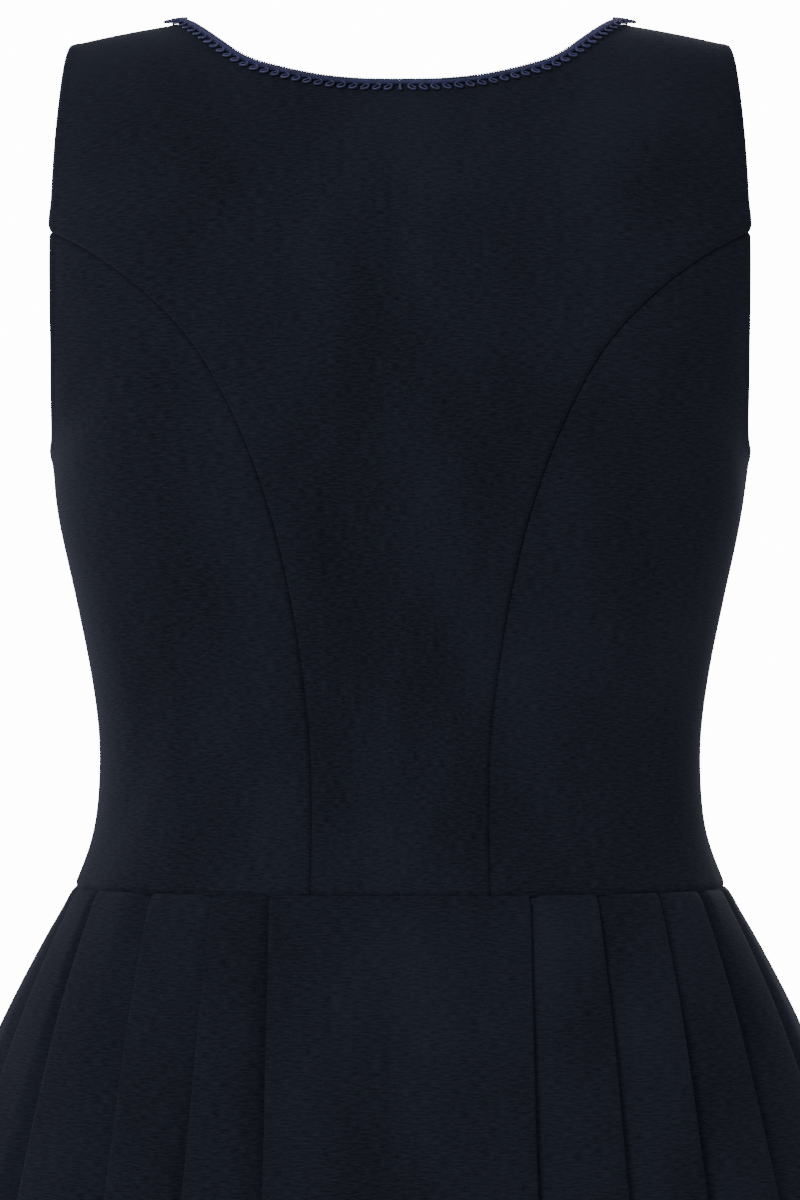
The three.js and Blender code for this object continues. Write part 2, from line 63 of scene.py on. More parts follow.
# drop below the waist seam, half width, depth to the back, depth to the front
SKIRT_SECTIONS = np.array([
    (0, 149.5, 104, 104), (6.5, 152.5, 106.5, 106), (25, 163, 112.5, 111), (60, 181, 123, 121),
    (140, 216, 143, 141), (250, 251, 170, 168), (400, 289, 205, 203), (550, 321, 238, 236),
    (700, 350, 268, 266)], float)
# drop, distance between the layers of a pleat, how deep the cloth turns under
PLEAT_SECTIONS = np.array([(0, 1.2, 20), (60, 1.6, 20), (150, 2.5, 20), (700, 8, 22)], float)
# the pleats' fold edges, in degrees from the centre back: at the waist, at the hem
PLEATS_LEFT = np.array([
    (30, 17.3), (42, 30), (55, 40), (69, 50.3), (79, 59.5), (91, 71), (105, 84), (119, 98),
    (133, 114), (146, 130), (159, 147), (171, 166)], float)
PLEATS_RIGHT = np.array([(30, 17.4), (44, 31.5), (57, 41.2), (68, 50), (79, 61), *PLEATS_LEFT[5:]], float)
BACK_LENGTH_PLEATS, SIDE_LENGTH_PLEATS = 4, 9

# cut edges: turn, climb
BACK_SEAM = np.array([
    (21.5, -390), (23.6, -345), (25.9, -300), (27.7, -255), (30.5, -215), (35.5, -178), (42.5, -145),
    (52, -118), (61.5, -98), (69.9, -85)], float)
BUST_SEAM = np.array([
    (156, -390), (154, -345), (151, -300), (147, -255), (143, -215), (139.5, -185), (135, -155),
    (127, -125), (118, -101), (110.1, -85)], float)
SIDE_SEAM = np.array([(93, -390), (90, -192)], float)
ARMHOLE = np.array([
    (69.5, 97), (69.2, 45), (69, -5), (69.3, -48), (69.9, -85), (71.2, -122), (74.3, -158),
    (80.5, -184.5), (90, -192)], float)
SEAM_ON_ARMHOLE = 0.5
BACK_NECK = [(0, -13.4), (9.5, -12.7), (18.7, -9), (27.5, -1), (34.5, 10), (40.4, 31), (46, 62)]
NECK_POINT = (50.3, 97)
FRONT_NECK = [(49, 132), (46.5, 170), (43, 210), (38, 248), (29.5, 284), (17, 304), (0, 310)]
NECK_EDGE = np.array([*BACK_NECK, NECK_POINT, *FRONT_NECK], float)
NECK_POINT_ON_EDGE = len(BACK_NECK) / (len(NECK_EDGE) - 1)

# seam relief: the groove, and the ridge that the pressed-over allowance makes beside it, weaker low down
GROOVE_DEPTH, GROOVE_WIDTH, WAIST_GROOVE_WIDTH = 1.3, 1.1, 1.6
RIDGE_HEIGHT, RIDGE_WIDTH, RIDGE_SOFTNESS = 0.85, 10.0, 1.6
RIDGE_FADES_AT, RIDGE_FADES_OVER, RIDGE_AT_LEAST = -330.0, 120.0, 0.25
# cut edges: how far the edge itself turns in or out, then the low welt of its turned-in cloth
EDGE_TURNED_IN, EDGE_TURNED_OUT, EDGE_WIDTH = -0.9, 0.15, 1.0
WELT_HEIGHT, WELT_FROM_EDGE, WELT_WIDTH = 0.3, 2.2, 1.5
# small puckers above and below the waist seam: their height, and how soon they fade
BODICE_PUCKER, BODICE_PUCKER_FADE = 0.28, 7.0
SKIRT_PUCKER, SKIRT_PUCKER_FADE = 0.3, 9.0
# how far out the inner face follows the outer one's relief
INNER_RELIEF_LIMIT = 0.5

# soft creases in the bodice, each a little bent: turn, climb, length, width, lean in degrees, height
CREASE_BEND = 0.004
CREASES = [
    (-62, -318, 46, 9, 8, -1.3), (-48, -340, 36, 8, -6, -0.9), (60, -322, 50, 10, -9, -1.2),
    (47, -345, 34, 8, 8, -0.8), (-70, -178, 52, 10, 52, -1.2), (72, -176, 48, 10, -50, -1.1),
    (-13, -335, 40, 11, 4, -0.5), (11, -350, 34, 10, -3, -0.5), (118, -230, 50, 11, 35, -1.2),
    (126, -330, 44, 9, -8, -1.1), (158, -340, 30, 9, 5, -0.7), (100, -300, 52, 10, 10, -1.0)]


# ---------------------------------------------------------------- curves and sections

def smooth_value(rows, column, at):
    """A cubic curve through one column of a table: each row's slope is that of its two neighbours' chord."""
    x, y = rows[:, 0], rows[:, column]
    slope = np.gradient(y, x)
    slope[1:-1] = (y[2:] - y[:-2]) / (x[2:] - x[:-2])
    at = np.asarray(at, float)
    i = np.clip(np.searchsorted(x, at) - 1, 0, len(x) - 2)
    width = x[i + 1] - x[i]
    t = (at - x[i]) / width
    stay = 2 * t**3 - 3 * t**2 + 1
    lead = (t**3 - 2 * t**2 + t) * width * slope[i] + (t**3 - t**2) * width * slope[i + 1]
    return stay * y[i] + (1 - stay) * y[i + 1] + lead


def spline(rows, t):
    """A curve through the rows at even steps of t: on each stretch a cubic with half the chord as slope."""
    t = np.asarray(t, float) * (len(rows) - 1)
    i = np.clip(t.astype(int), 0, len(rows) - 2)
    w = (t - i)[:, None]
    p1, p2 = rows[i], rows[i + 1]
    v0 = 0.5 * (p2 - rows[np.maximum(i - 1, 0)])
    v1 = 0.5 * (rows[np.minimum(i + 2, len(rows) - 1)] - p1)
    return (2 * p1 - 2 * p2 + v0 + v1) * w**3 + (3 * p2 - 3 * p1 - 2 * v0 - v1) * w**2 + v0 * w + p1


def section_radius(turn, half_width, depth):
    """The distance out to a rounded, squarish section: one over the power mean of the two slopes."""
    a = np.radians(turn)
    mean = (np.abs(np.sin(a)) / half_width)**SQUARENESS + (np.abs(np.cos(a)) / depth)**SQUARENESS
    return mean**(-1 / SQUARENESS)


def body_point(turn, climb):
    """The outer face: sections stacked up to the blades, then a quarter arch over the shoulder."""
    a = np.radians(turn)
    half_width = smooth_value(BODY_SECTIONS, 1, climb)
    to_back, to_front = smooth_value(BODY_SECTIONS, 2, climb), smooth_value(BODY_SECTIONS, 3, climb)
    depth = np.where(np.cos(a) >= 0, to_back, to_front)
    bust = np.exp(-((np.abs(turn) - BUST_TURN) / BUST_ACROSS)**2)
    bust += np.exp(-((360 - np.abs(turn) - BUST_TURN) / BUST_ACROSS)**2)
    bust *= BUST_FULLNESS * np.exp(-((climb - BUST_CLIMB) / BUST_UPRIGHT)**2)
    radius = section_radius(turn, half_width, depth) + bust
    arch = np.clip((climb - BLADE_HEIGHT) / BLADE_TO_SHOULDER, 0, 1) * np.pi / 2
    x = radius * np.sin(a)
    y = -radius * np.cos(a) * np.cos(arch)
    top = SHOULDER_TOP - SHOULDER_FALL * (np.abs(x) / SHOULDER_TIP)**SHOULDER_BEND
    z = np.where(climb > BLADE_HEIGHT, BLADE_HEIGHT + (top - BLADE_HEIGHT) * np.sin(arch), climb)
    return np.stack([x, y, z], -1)


def unit(v):
    """Each row divided by its own length."""
    return v / np.maximum(np.linalg.norm(v, axis=-1, keepdims=True), 1e-12)


def body_normal(turn, climb):
    """The cross product of the two directions in which the outer face runs."""
    e = 0.05
    across = body_point(turn + e, climb) - body_point(turn - e, climb)
    up = body_point(turn, np.minimum(climb + e, SHOULDER_CLIMB)) - body_point(turn, climb - e)
    return unit(np.cross(across, up))


# ---------------------------------------------------------------- making meshes

def new_object(name, points, faces, uv, material):
    """Puts whole arrays of points, four-sided faces and corner places on the cloth into a mesh."""
    mesh = bpy.data.meshes.new(name)
    mesh.vertices.add(len(points))
    mesh.vertices.foreach_set("co", (points * MM).ravel())
    mesh.loops.add(faces.size)
    mesh.loops.foreach_set("vertex_index", faces.ravel())
    mesh.polygons.add(len(faces))
    mesh.polygons.foreach_set("loop_start", np.arange(0, faces.size, 4))
    mesh.polygons.foreach_set("use_smooth", np.ones(len(faces), bool))
    mesh.update(calc_edges=True)
    layer = mesh.uv_layers.new(name="cloth")
    layer.data.foreach_set("uv", (uv[faces.ravel()] * MM).ravel())
    mesh.validate()
    mesh.materials.append(material)
    piece = bpy.data.objects.new(name, mesh)
    bpy.context.scene.collection.objects.link(piece)
    return piece


def grid_faces(columns, rows, start=0, flipped=False):
    """The four-sided faces of a net of columns and rows."""
    i, j = np.meshgrid(np.arange(columns - 1), np.arange(rows - 1), indexing="ij")
    a = (start + i * rows + j).ravel()
    faces = np.stack([a, a + rows, a + rows + 1, a + 1], -1)
    return faces[:, ::-1] if flipped else faces


def wall_faces(columns, rows):
    """An outer net, an inner net behind it, and the strip that joins their four edges."""
    back = columns * rows
    low, high = np.arange(columns) * rows, np.arange(columns) * rows + rows - 1
    left, right = np.arange(rows), (columns - 1) * rows + np.arange(rows)
    rims = []
    for edge, turned in ((low, True), (high, False), (left, False), (right, True)):
        a, b = (edge[1:], edge[:-1]) if turned else (edge[:-1], edge[1:])
        rims.append(np.stack([a, b, b + back, a + back], -1))
    return np.concatenate([grid_faces(columns, rows), grid_faces(columns, rows, back, True), *rims])


def cut_of(outer, uv):
    """The flat size and area of a net: its reach on the cloth each way, and the sum of its faces."""
    width, length = np.ptp(uv[..., 0]) * MM, np.ptp(uv[..., 1]) * MM
    across, up = np.diff(outer, axis=0)[:, :-1], np.diff(outer, axis=1)[:-1]
    area = np.linalg.norm(np.cross(across, up), axis=-1).sum() * MM * MM
    return (width, length), min(area, width * length)


def cloth_piece(node, outer, inner, uv, material):
    flat, area = cut_of(outer, uv)
    columns, rows = outer.shape[:2]
    points = np.concatenate([outer.reshape(-1, 3), inner.reshape(-1, 3)])
    uv = np.concatenate([uv.reshape(-1, 2)] * 2)
    piece = new_object(f"{node}_cloth", points, wall_faces(columns, rows), uv, material)
    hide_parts(node)
    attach(piece, "root")
    return piece


# ---------------------------------------------------------------- the bodice

def patch(top, left, right, u, v):
    """Rules straight lines from left to right, and adds the top edge's own bend by the cube of the height."""
    u, v = u[:, None, None], v[None, :, None]
    ruled = (1 - u) * left[None] + u * right[None]
    bend = top[:, None] - (1 - u) * top[0] - u * top[-1]
    return ruled + v**3 * bend


def rise_of(edge):
    """How far up its own climb each place of an edge is, from 0 to 1."""
    return (edge[:, 1] - edge[0, 1]) / (edge[-1, 1] - edge[0, 1])


def eased(n):
    """Even steps from 0 to 1, less a share of one full sine wave, so that they are closer at both ends."""
    t = np.linspace(0, 1, n + 1)
    return t - 0.72 / (2 * np.pi) * np.sin(2 * np.pi * t)


def eased_at_start(n):
    """Even steps from 0 to 1, less a fading share of half a sine wave, so that the first are closer."""
    t = np.linspace(0, 1, n + 1)
    return t - 0.6 / np.pi * np.sin(np.pi * t) * (1 - t)


def eased_at_end(n):
    """The same steps the other way round, so that the last are closer."""
    return 1 - eased_at_start(n)[::-1]


def distance_to(points, line):
    """The shortest distance from each point to a line of closely set points."""
    flat = points.reshape(-1, 3)
    best = np.full(len(flat), 1e9)
    for part in np.array_split(line, max(1, len(line) // 100)):
        d = (flat**2).sum(1)[:, None] + (part**2).sum(1) - 2 * flat @ part.T
        best = np.minimum(best, d.min(1))
    return np.sqrt(np.maximum(best, 0)).reshape(points.shape[:-1])


def chart_line(rows, start, end):
    """Closely set points along a cut edge, on the outer face."""
    places = spline(rows, np.linspace(start, end, 700))
    return body_point(places[:, 0], places[:, 1])


def crease_relief(turn, climb):
    """A sum of long soft troughs and ridges, each a bell curve across and along its own leaning line."""
    total = np.zeros_like(turn)
    for at_turn, at_climb, length, width, lean, height in CREASES:
        dx, dz = (turn - at_turn) * ROUND_SCALE, climb - at_climb
        c, s = math.cos(math.radians(lean)), math.sin(math.radians(lean))
        along, across = dz * c + dx * s, dx * c - dz * s
        bend = across + CREASE_BEND * along**2
        total += height * np.exp(-(bend / width)**2 - (along / length)**2)
    return total


def panel_relief(face, turn, climb, seams, edges):
    """Grooves and ridges along the seams, turned edges, and puckers and a groove at the waist.

    A groove is a bell curve of the distance to its line, and a ridge is a step that ends softly.
    """
    relief = np.zeros_like(turn)
    upper = np.clip((climb - RIDGE_FADES_AT) / RIDGE_FADES_OVER, RIDGE_AT_LEAST, 1)
    for line, ridge in seams:
        d = distance_to(face, line)
        relief += ridge * RIDGE_HEIGHT * upper / (1 + np.exp((d - RIDGE_WIDTH) / RIDGE_SOFTNESS))
        relief -= GROOVE_DEPTH * np.exp(-(d / GROOVE_WIDTH)**2)
    for line, turned in edges:
        d = distance_to(face, line)
        relief += turned * np.exp(-(d / EDGE_WIDTH)**2)
        relief += WELT_HEIGHT * np.exp(-((d - WELT_FROM_EDGE) / WELT_WIDTH)**2)
    above_waist = climb - WAIST_HEIGHT
    wave = np.sin(turn * 0.93 + 1.7 * np.sin(turn * 0.31))
    relief += BODICE_PUCKER * wave * np.exp(-above_waist / BODICE_PUCKER_FADE)
    return relief - GROOVE_DEPTH * np.exp(-(above_waist / WAIST_GROOVE_WIDTH)**2)


def panel(node, net, seams, edges, on_left=False):
    """A bodice panel on its chart net: the outer face moved along its normals, and an inner face behind."""
    turn, climb = net[..., 0], net[..., 1]
    face, normal = body_point(turn, climb), body_normal(turn, climb)
    relief = crease_relief(-turn if on_left else turn, climb)
    relief += panel_relief(face, turn, climb, seams, edges)
    outer = face + normal * relief[..., None]
    inner = face + normal * (np.minimum(relief, INNER_RELIEF_LIMIT) - BODICE_CLOTH)[..., None]
    uv = np.stack([turn * ROUND_SCALE, climb], -1)
    if on_left:
        outer, inner = outer[::-1] * (-1, 1, 1), inner[::-1] * (-1, 1, 1)
        uv = uv[::-1] * (-1, 1)
    return cloth_piece(node, outer, inner, uv, NAVY)


def front(places):
    """The same places measured from the centre front instead of the centre back."""
    return np.stack([180 - places[:, 0], places[:, 1]], -1)


def mirror(places):
    """The same places on the other side of the body."""
    return places * (-1, 1)


def folded_down(places):
    """Climbs past the shoulder, counted down again on the front."""
    return np.stack([places[:, 0], 2 * SHOULDER_CLIMB - places[:, 1]], -1)


def straight(start, end, t):
    """Places on a straight line of the chart."""
    return start + (end - start) * t[:, None]


SEAM_STEPS, STRAP_STEPS, TIP_STEPS, NECK_STEPS, SIDE_STEPS = 110, 50, 26, 48, 60
OTHER_SIDE = np.array([-1, 1, 1])


def top_edge(neck):
    """Along the shoulder from its tip to the neck point, then down the neck edge to the middle."""
    tip = np.array([ARMHOLE[0][0], SHOULDER_CLIMB])
    point = np.array([NECK_POINT[0], SHOULDER_CLIMB])
    return np.concatenate([straight(tip, point, eased(TIP_STEPS)), neck[1:]])


def strap_edge():
    """Up the armhole from the seam's end to the shoulder's tip, without its first place."""
    return spline(ARMHOLE, SEAM_ON_ARMHOLE * (1 - eased_at_end(STRAP_STEPS)))[1:]


def shoulder_line():
    """Closely set points along the shoulder seam."""
    turns = np.linspace(ARMHOLE[0][0], NECK_POINT[0], 200)
    return body_point(turns, np.full(200, SHOULDER_CLIMB))


def both(lines):
    """Each line, then the same lines on the other side."""
    return [pair for line, value in lines for pair in ((line, value), (line * OTHER_SIDE, value))]


def centre_back():
    """The centre back panel: waist, the two back seams and straps, the shoulders and the back neck."""
    neck = spline(NECK_EDGE, NECK_POINT_ON_EDGE * (1 - eased_at_start(NECK_STEPS)))
    half = top_edge(neck)
    top = np.concatenate([mirror(half), half[:-1][::-1]])
    right = np.concatenate([spline(BACK_SEAM, eased(SEAM_STEPS)), strap_edge()])
    net = patch(top, mirror(right), right, np.linspace(0, 1, len(top)), rise_of(right))
    neck_line = chart_line(NECK_EDGE, 0, NECK_POINT_ON_EDGE)
    seams = both([(chart_line(BACK_SEAM, 0, 1), 1), (shoulder_line(), 0)])
    edges = both([(chart_line(ARMHOLE, 0, 1), EDGE_TURNED_OUT), (neck_line, EDGE_TURNED_IN)])
    panel("back_centre", net, seams, edges)


def centre_fronts():
    """The two centre front panels, one on each side of the opening."""
    neck = spline(NECK_EDGE, NECK_POINT_ON_EDGE + (1 - NECK_POINT_ON_EDGE) * eased(NECK_STEPS))
    top = front(top_edge(folded_down(neck)))
    left = np.concatenate([spline(BUST_SEAM, eased(SEAM_STEPS)), front(strap_edge())])
    v = rise_of(left)
    middle = straight(np.array([180.0, WAIST_HEIGHT]), top[-1], v)
    net = patch(top, left, middle, np.linspace(0, 1, len(top)), v)
    neck_places = spline(NECK_EDGE, 1 - (1 - NECK_POINT_ON_EDGE) * np.linspace(0, 1, 900))
    neck_places = front(folded_down(neck_places))
    neck_line = body_point(neck_places[:, 0], neck_places[:, 1])
    middle_line = body_point(np.full(500, 180.0), np.linspace(WAIST_HEIGHT, top[-1, 1], 500))
    arm_line = chart_line(ARMHOLE, 0, 1) * (1, -1, 1)
    seams = [(chart_line(BUST_SEAM, 0, 1), 1), (shoulder_line(), 0)]
    edges = [(arm_line, EDGE_TURNED_OUT), (neck_line, EDGE_TURNED_IN), (middle_line, EDGE_TURNED_IN)]
    panel("front_centre_right", net, seams, edges)
    panel("front_centre_left", net, seams, edges, on_left=True)


def sides():
    """The side backs and side fronts, each from its curved seam to the side seam under the armhole."""
    u = eased(SIDE_STEPS)
    under = spline(ARMHOLE, SEAM_ON_ARMHOLE + (1 - SEAM_ON_ARMHOLE) * u)
    seam, bust = spline(BACK_SEAM, eased(SEAM_STEPS)), spline(BUST_SEAM, eased(SEAM_STEPS))
    v = rise_of(seam)
    back_net = patch(under, seam, straight(SIDE_SEAM[0], SIDE_SEAM[1], v), u, v)
    v = rise_of(bust)
    front_net = patch(front(under)[::-1], straight(SIDE_SEAM[0], SIDE_SEAM[1], v), bust, u, v)
    arm_line, side_line = chart_line(ARMHOLE, 0, 1), chart_line(SIDE_SEAM, 0, 1)
    back_seams = [(chart_line(BACK_SEAM, 0, 1), 0), (side_line, 0)]
    front_seams = [(chart_line(BUST_SEAM, 0, 1), 0), (side_line, 0)]
    for name, on_left in (("right", False), ("left", True)):
        panel(f"back_side_{name}", back_net, back_seams, [(arm_line, EDGE_TURNED_OUT)], on_left)
        panel(f"front_side_{name}", front_net, front_seams,
              [(arm_line * (1, -1, 1), EDGE_TURNED_OUT)], on_left)


def bodice():
    """All seven panels."""
    centre_back()
    centre_fronts()
    sides()


# ---------------------------------------------------------------- the skirt

def skirt_point(turn, drop):
    """A point of the skirt's section below the waist, in plan."""
    to_back, to_front = smooth_value(SKIRT_SECTIONS, 2, drop), smooth_value(SKIRT_SECTIONS, 3, drop)
    depth = np.where(np.cos(np.radians(turn)) >= 0, to_back, to_front)
    radius = section_radius(turn, smooth_value(SKIRT_SECTIONS, 1, drop), depth)
    return np.stack([radius * np.sin(np.radians(turn)), -radius * np.cos(np.radians(turn))], -1)


def fold_turn(waist, hem, drop):
    """The turn of a fold that hangs on a straight line from its place at the waist to that at the hem."""
    width = smooth_value(SKIRT_SECTIONS, 1, drop)
    share = (width - SKIRT_SECTIONS[0, 1]) / (SKIRT_SECTIONS[-1, 1] - SKIRT_SECTIONS[0, 1])
    start = skirt_point(np.full_like(drop, waist), np.zeros_like(drop))
    end = skirt_point(np.full_like(drop, hem), np.full_like(drop, SKIRT_LENGTH))
    place = start + (end - start) * share[:, None]
    return np.degrees(np.arctan2(place[:, 0], -place[:, 1]))


FOLD_POINTS = 9


def fold_profile(under, layer):
    """The three layers at a fold: along the top, round its edge, back under, round again, and out below."""
    bend = np.linspace(np.pi / 2, -np.pi / 2, FOLD_POINTS)[:, None]
    round_ = layer / 2
    run = np.linspace(0, 1, FOLD_POINTS)[:, None]
    back = [under + (round_ - under) * run[:-1], round_ - round_ * np.cos(bend),
            round_ + (under - 2 * round_) * run[1:-1], under - round_ + round_ * np.cos(bend),
            (under - round_) * (1 - run[1:])]
    level = [2 * layer + 0 * run[:-1], 1.5 * layer + round_ * np.sin(bend), layer + 0 * run[1:-1],
             round_ + round_ * np.sin(bend), 0 * layer * run[1:]]
    return np.concatenate(back), np.concatenate(level)


PANEL_STEPS, CENTRE_STEPS, SEAM_IN_FOLD, SKIRT_ROWS, ROWS_CLOSER_AT_WAIST = 12, 56, 21, 80, 1.35
# how far a fold wanders from its straight line in degrees, and how unlike the layers are
FOLD_WANDER, FOLD_WAVE, FOLD_WAVE_MORE, LAYERS_UNLIKE = 0.5, 90, 7, 0.12
# soft waves in the hanging cloth: height, radians a degree of turn, millimetres of drop a radian
HANGING_WAVES = [(0.8, 0.17, 61), (0.6, 0.29, -83)]
WAIST_TUCK, WAIST_TUCK_FADE, PLEATS_SUNK = 1.5, 1.8, 1.9
TURN_STEP = 0.05


def millimetres_a_degree(turn, drop):
    """How far the skirt's section runs in one degree of turn."""
    ahead, behind = skirt_point(turn + TURN_STEP, drop), skirt_point(turn - TURN_STEP, drop)
    return np.linalg.norm(ahead - behind, axis=-1) / (2 * TURN_STEP)


def pleat_walk(drop):
    """Walks round the waist from the centre front: each fold's layers, then the panel to the next fold.

    Gives the turn and level of every column, and the columns at which a seam lies hidden in a fold.
    """
    layer = smooth_value(PLEAT_SECTIONS, 1, drop)[None]
    under = smooth_value(PLEAT_SECTIONS, 2, drop)[None]
    folds = [(-w, -h, -1) for w, h in PLEATS_LEFT[::-1]] + [(w, h, 1) for w, h in PLEATS_RIGHT]
    edge_turn, edge_level = np.full_like(drop, -180.0), np.zeros_like(drop)
    turns, levels, marks = [edge_turn[None]], [edge_level[None]], []
    for index, (waist, hem, looks) in enumerate(folds):
        wave = np.sin(drop / (FOLD_WAVE + FOLD_WAVE_MORE * (index % 5)) + 2.1 * index)
        at = fold_turn(waist, hem, drop) + FOLD_WANDER * wave * np.clip(drop / 250, 0, 1)
        back, level = fold_profile(under, layer * (1 + LAYERS_UNLIKE * math.sin(1.9 * index)))
        if looks < 0:
            back, level = back[::-1], level[::-1]
        turn = at[None] - looks * back / millimetres_a_degree(at, drop)[None]
        steps = CENTRE_STEPS if index == len(PLEATS_LEFT) else PANEL_STEPS
        run = np.linspace(0, 1, steps + 1)[1:-1, None]
        rise = run * run * (3 - 2 * run)
        turns += [edge_turn + (turn[0] - edge_turn) * run, turn]
        levels += [edge_level + (level[0] - edge_level) * rise, level]
        into = SEAM_IN_FOLD if looks > 0 else len(turn) - SEAM_IN_FOLD
        marks.append(sum(len(t) for t in turns) - len(turn) + into)
        edge_turn, edge_level = turn[-1], level[-1]
    run = np.linspace(0, 1, PANEL_STEPS + 1)[1:, None]
    turns.append(edge_turn + (180 - edge_turn) * run)
    levels.append(edge_level * (1 - run))
    return np.concatenate(turns), np.concatenate(levels), marks


def hanging(turns, drops):
    """What the cloth's own hang adds to the levels: soft waves, puckers at the waist, and the tuck there."""
    soft = sum(h * np.sin(turns * k + drops / length) for h, k, length in HANGING_WAVES)
    pucker = SKIRT_PUCKER * np.sin(turns * 0.8 + 1.3 * np.sin(turns * 0.37))
    added = soft * np.clip(drops / 200, 0, 1) + pucker * np.exp(-drops / SKIRT_PUCKER_FADE)
    return added - WAIST_TUCK * np.exp(-(drops / WAIST_TUCK_FADE)**2)


def pleated_skirt():
    """The whole pleated cloth as one wall, cut into five lengths at seams hidden inside folds."""
    drop = SKIRT_LENGTH * np.linspace(0, 1, SKIRT_ROWS)**ROWS_CLOSER_AT_WAIST
    turns, levels, marks = pleat_walk(drop)
    drops = np.broadcast_to(drop, turns.shape)
    levels = levels + hanging(turns, drops)
    tangent = unit(skirt_point(turns + TURN_STEP, drops) - skirt_point(turns - TURN_STEP, drops))
    normal = np.stack([tangent[..., 1], -tangent[..., 0]], -1)
    middle = skirt_point(turns, drops) + normal * (levels - PLEATS_SUNK)[..., None]
    along = unit(np.gradient(middle, axis=0))
    side = np.stack([along[..., 1], -along[..., 0]], -1) * SKIRT_CLOTH / 2
    height = np.broadcast_to(WAIST_HEIGHT - drop, turns.shape)[..., None]
    outer = np.concatenate([middle + side, height], -1)
    inner = np.concatenate([middle - side, height], -1)
    length = np.cumsum(np.linalg.norm(np.diff(middle, axis=0, prepend=middle[:1]), axis=-1), axis=0)
    flare = np.diff(smooth_value(SKIRT_SECTIONS, 1, drop))
    slant = np.concatenate([[0], np.cumsum(np.hypot(np.diff(drop), flare))])
    uv = np.stack([length - length.mean(0), np.broadcast_to(-slant, drops.shape)], -1)
    count = len(PLEATS_LEFT)
    ends = [0, marks[count - SIDE_LENGTH_PLEATS], marks[count - BACK_LENGTH_PLEATS],
            marks[count - 1 + BACK_LENGTH_PLEATS], marks[count - 1 + SIDE_LENGTH_PLEATS], len(turns) - 1]
    names = ("front_left", "side_left", "back", "side_right", "front_right")
    for name, start, end in zip(names, ends[:-1], ends[1:]):
        part = slice(start, end + 1)
        cloth_piece(f"skirt_{name}", outer[part, ::-1], inner[part, ::-1], uv[part, ::-1], NAVY)


# ---------------------------------------------------------------- the braid

CORD, CORD_SIDES = 0.46, 6
LOOP_PITCH, LOOP_WIDE, LOOP_FROM_EDGE, LOOP_POINTS = 5.05, 3.6, 4.15, 16
LOOP_SWING, LOOP_LEAN, LOOP_HIGH, LOOP_CROSSING = 2.75, 0.7, 0.85, 0.45
HEADER_PITCH, HEADER_WIDE, HEADER_FROM_EDGE, HEADER_POINTS = 3.8, 2.5, 1.25, 9
HEADER_STRANDS, HEADER_HIGH, HEADER_CROSSING = 3, 1.15, 0.5
BAND_EDGES, BAND_HIGH, BAND_STEPS = (0.1, 2.3), 0.8, 500
SHOULDER_LIFT, SHOULDER_SPREAD, SHOULDER_REACH = 1.0, 0.12, 22.0
END_GAP, CLEAR_OF_CLOTH, EDGE_POINTS = 0.02, 0.3, 1600
CORD_GRAIN = (0.4, 0.6)


def tube(path):
    """A round section carried along a path, square to it at each point: an open net of rings."""
    run = unit(np.gradient(path, axis=0))
    spare = np.where(np.abs(run[:, 2:3]) < 0.9, [[0.0, 0.0, 1.0]], [[1.0, 0.0, 0.0]])
    a = unit(np.cross(run, spare))
    b = np.cross(run, a)
    angle = np.linspace(0, 2 * np.pi, CORD_SIDES + 1)[None, :, None]
    return path[:, None] + CORD * (np.cos(angle) * a[:, None] + np.sin(angle) * b[:, None])


def neck_layer():
    """The whole neck edge of one side, as a way to lay places along, across and above it on the cloth."""
    t = np.linspace(0, 1, EDGE_POINTS)
    places = spline(NECK_EDGE, t)
    over = places[:, 1] > SHOULDER_CLIMB
    turn = np.where(over, 180 - places[:, 0], places[:, 0])
    climb = np.where(over, 2 * SHOULDER_CLIMB - places[:, 1], places[:, 1])
    edge, normal = body_point(turn, climb), body_normal(turn, climb)
    across = unit(np.cross(unit(np.gradient(edge, axis=0)), normal))
    length = np.concatenate([[0], np.cumsum(np.linalg.norm(np.diff(edge, axis=0), axis=1))])
    at_shoulder = np.interp(NECK_POINT_ON_EDGE, t, length)

    def pick(s, values):
        """The values at the given lengths along the edge."""
        return np.stack([np.interp(s, length, values[:, k]) for k in range(3)], -1)

    def lay(s, w, h):
        """Edge place, plus across times w, plus normal times h, both a little more over the shoulder."""
        near = np.exp(-((s - at_shoulder) / SHOULDER_REACH)**2)
        w = (w * (1 + SHOULDER_SPREAD * near))[:, None]
        h = (h + SHOULDER_LIFT * near + CLEAR_OF_CLOTH)[:, None]
        return pick(s, edge) + pick(s, across) * w + unit(pick(s, normal)) * h

    return lay, length[-1]


def cord_loops(lay, total):
    """The cord's loops: it runs on evenly and swings back by a sine, while a cosine carries it out and in."""
    count = int(total / LOOP_PITCH)
    a = np.linspace(0, 2 * np.pi * count, count * LOOP_POINTS)
    s = a / (2 * np.pi) * total / count - LOOP_SWING * np.sin(a) + LOOP_LEAN * np.cos(a)
    w = LOOP_FROM_EDGE + LOOP_WIDE / 2 * np.cos(a)
    return tube(lay(np.clip(s, END_GAP, total - END_GAP), w, LOOP_HIGH + LOOP_CROSSING * np.sin(a)))


def header_strands(lay, total):
    """The plait: strands on one sine, a third of a wave apart, that rise and sink at twice its beat."""
    count = int(total / HEADER_PITCH)
    a = np.linspace(0, 2 * np.pi * count, count * HEADER_POINTS)
    s = np.clip(a / (2 * np.pi) * total / count, END_GAP, total - END_GAP)
    strands = []
    for k in range(HEADER_STRANDS):
        shift = 2 * np.pi * k / HEADER_STRANDS
        w = HEADER_FROM_EDGE + HEADER_WIDE / 2 * np.sin(a + shift)
        strands.append(tube(lay(s, w, HEADER_HIGH + HEADER_CROSSING * np.sin(2 * (a + shift)))))
    return strands


